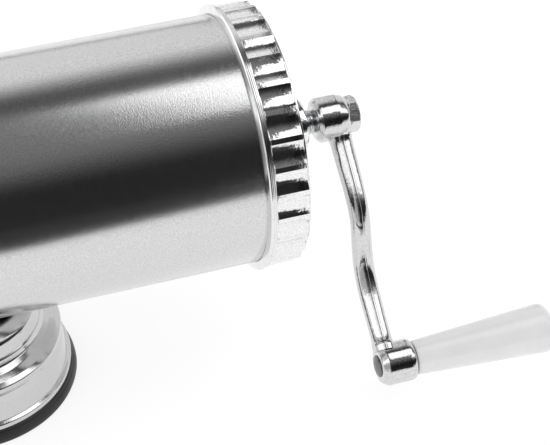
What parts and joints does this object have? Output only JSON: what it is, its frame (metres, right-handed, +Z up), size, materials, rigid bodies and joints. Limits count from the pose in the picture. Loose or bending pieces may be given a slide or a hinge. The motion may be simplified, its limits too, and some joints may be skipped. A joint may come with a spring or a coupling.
{
  "type": "sausage stuffer",
  "caption": "Hand-cranked horizontal sausage stuffer: steel barrel on a suction base, screw-driven piston, fluted screw-on caps, crank with a plastic grip and a tapered nozzle.",
  "frame": {"origin": "centre of the suction pad's underside, on the table", "axes": "+Z up, +X along the barrel towards the crank, -X towards the nozzle, -Y the side that the crank hangs to"},
  "size_m": [0.5063, 0.13, 0.148],
  "materials": {
    "brushed_steel": "satin stainless steel, fine brushing round the barrel",
    "chrome": "bright plated castings",
    "pressed_chrome": "plated pressing",
    "cast_aluminium": "turned casting",
    "zinc_steel": "zinc plated steel",
    "black_rubber": "matte black rubber",
    "white_silicone": "food-grade silicone",
    "white_plastic": "glossy white moulding",
    "black_plastic": "fine-grained black moulding"
  },
  "bodies": {
    "root": {"barrel_tube": "brushed_steel", "rear_collar_ring": "cast_aluminium", "front_collar_ring": "cast_aluminium", "saddle_plate": "zinc_steel", "saddle_stud_1": "zinc_steel", "saddle_stud_2": "zinc_steel", "base_washer_1": "zinc_steel", "base_washer_2": "zinc_steel", "base_nut_1": "zinc_steel", "base_nut_2": "zinc_steel", "pedestal_shell": "pressed_chrome", "cam_bracket": "zinc_steel", "lever_bush": "white_plastic", "suction_pad": "black_rubber", "return_spring": "zinc_steel"},
    "lever": {"suction_lever": "chrome", "lever_knob": "black_plastic", "cam_shaft": "zinc_steel", "eccentric_cam": "zinc_steel", "lever_screw": "zinc_steel"},
    "lift": {"pad_core_plate": "zinc_steel", "lift_stem": "zinc_steel"},
    "rear_seal": {"rear_seal_ring": "white_silicone"},
    "rear_cap": {"rear_cap": "chrome"},
    "piston": {"piston_disc": "cast_aluminium", "piston_seal": "white_silicone"},
    "screw": {"screw_rod": "zinc_steel", "piston_front_washer": "zinc_steel", "piston_rear_washer": "zinc_steel", "piston_nut": "zinc_steel", "crank_arm": "chrome", "crank_nut": "chrome", "grip_pin": "zinc_steel"},
    "grip": {"crank_grip": "white_plastic"},
    "front_seal": {"front_seal_ring": "white_silicone"},
    "front_cap": {"front_cap": "chrome"},
    "nozzle": {"nozzle_tube": "white_plastic", "nozzle_gasket": "white_silicone"},
    "nozzle_nut": {"nozzle_nut": "chrome"}
  },
  "joints": [
    {"name": "lever_turn", "type": "hinge", "parent": "root", "child": "lever", "pos_m": [0, 0, 0.021], "axis": [0, 1, 0], "range_deg": [0, 90]},
    {"name": "pad_lift", "type": "slide", "parent": "root", "child": "lift", "axis": [0, 0, 1], "range_m": [0, 0.0035], "deforming": ["return_spring"]},
    {"name": "rear_seal_slide", "type": "slide", "parent": "root", "child": "rear_seal", "axis": [1, 0, 0], "range_m": [0, 0.009]},
    {"name": "rear_cap_unscrew", "type": "hinge", "parent": "rear_seal", "child": "rear_cap", "pos_m": [0, 0, 0.0943], "axis": [1, 0, 0], "range_deg": [0, 1080]},
    {"name": "piston_travel", "type": "slide", "parent": "rear_cap", "child": "piston", "axis": [1, 0, 0], "range_m": [-0.004, 0.196]},
    {"name": "screw_turn", "type": "hinge", "parent": "piston", "child": "screw", "pos_m": [0, 0, 0.0943], "axis": [1, 0, 0], "range_deg": [-360, 17640]},
    {"name": "grip_spin", "type": "hinge", "parent": "screw", "child": "grip", "pos_m": [0.2, -0.06604, 0.0167], "axis": [1, 0, 0], "continuous": true},
    {"name": "front_seal_slide", "type": "slide", "parent": "root", "child": "front_seal", "axis": [-1, 0, 0], "range_m": [0, 0.009]},
    {"name": "front_cap_unscrew", "type": "hinge", "parent": "front_seal", "child": "front_cap", "pos_m": [0, 0, 0.0943], "axis": [-1, 0, 0], "range_deg": [0, 1080]},
    {"name": "nozzle_slide", "type": "slide", "parent": "front_cap", "child": "nozzle", "axis": [-1, 0, 0], "range_m": [0, 0.0075]},
    {"name": "nozzle_nut_unscrew", "type": "hinge", "parent": "nozzle", "child": "nozzle_nut", "pos_m": [0, 0, 0.0943], "axis": [-1, 0, 0], "range_deg": [0, 900]}
  ],
  "couplings": [
    {"joint": "pad_lift", "follows": "lever_turn", "m_per_rad": 0.0022282},
    {"joint": "rear_seal_slide", "follows": "rear_cap_unscrew", "m_per_rad": 0.00047746},
    {"joint": "piston_travel", "follows": "screw_turn", "m_per_rad": 0.00063661},
    {"joint": "front_seal_slide", "follows": "front_cap_unscrew", "m_per_rad": 0.00047746},
    {"joint": "nozzle_slide", "follows": "nozzle_nut_unscrew", "m_per_rad": 0.00047746}
  ]
}
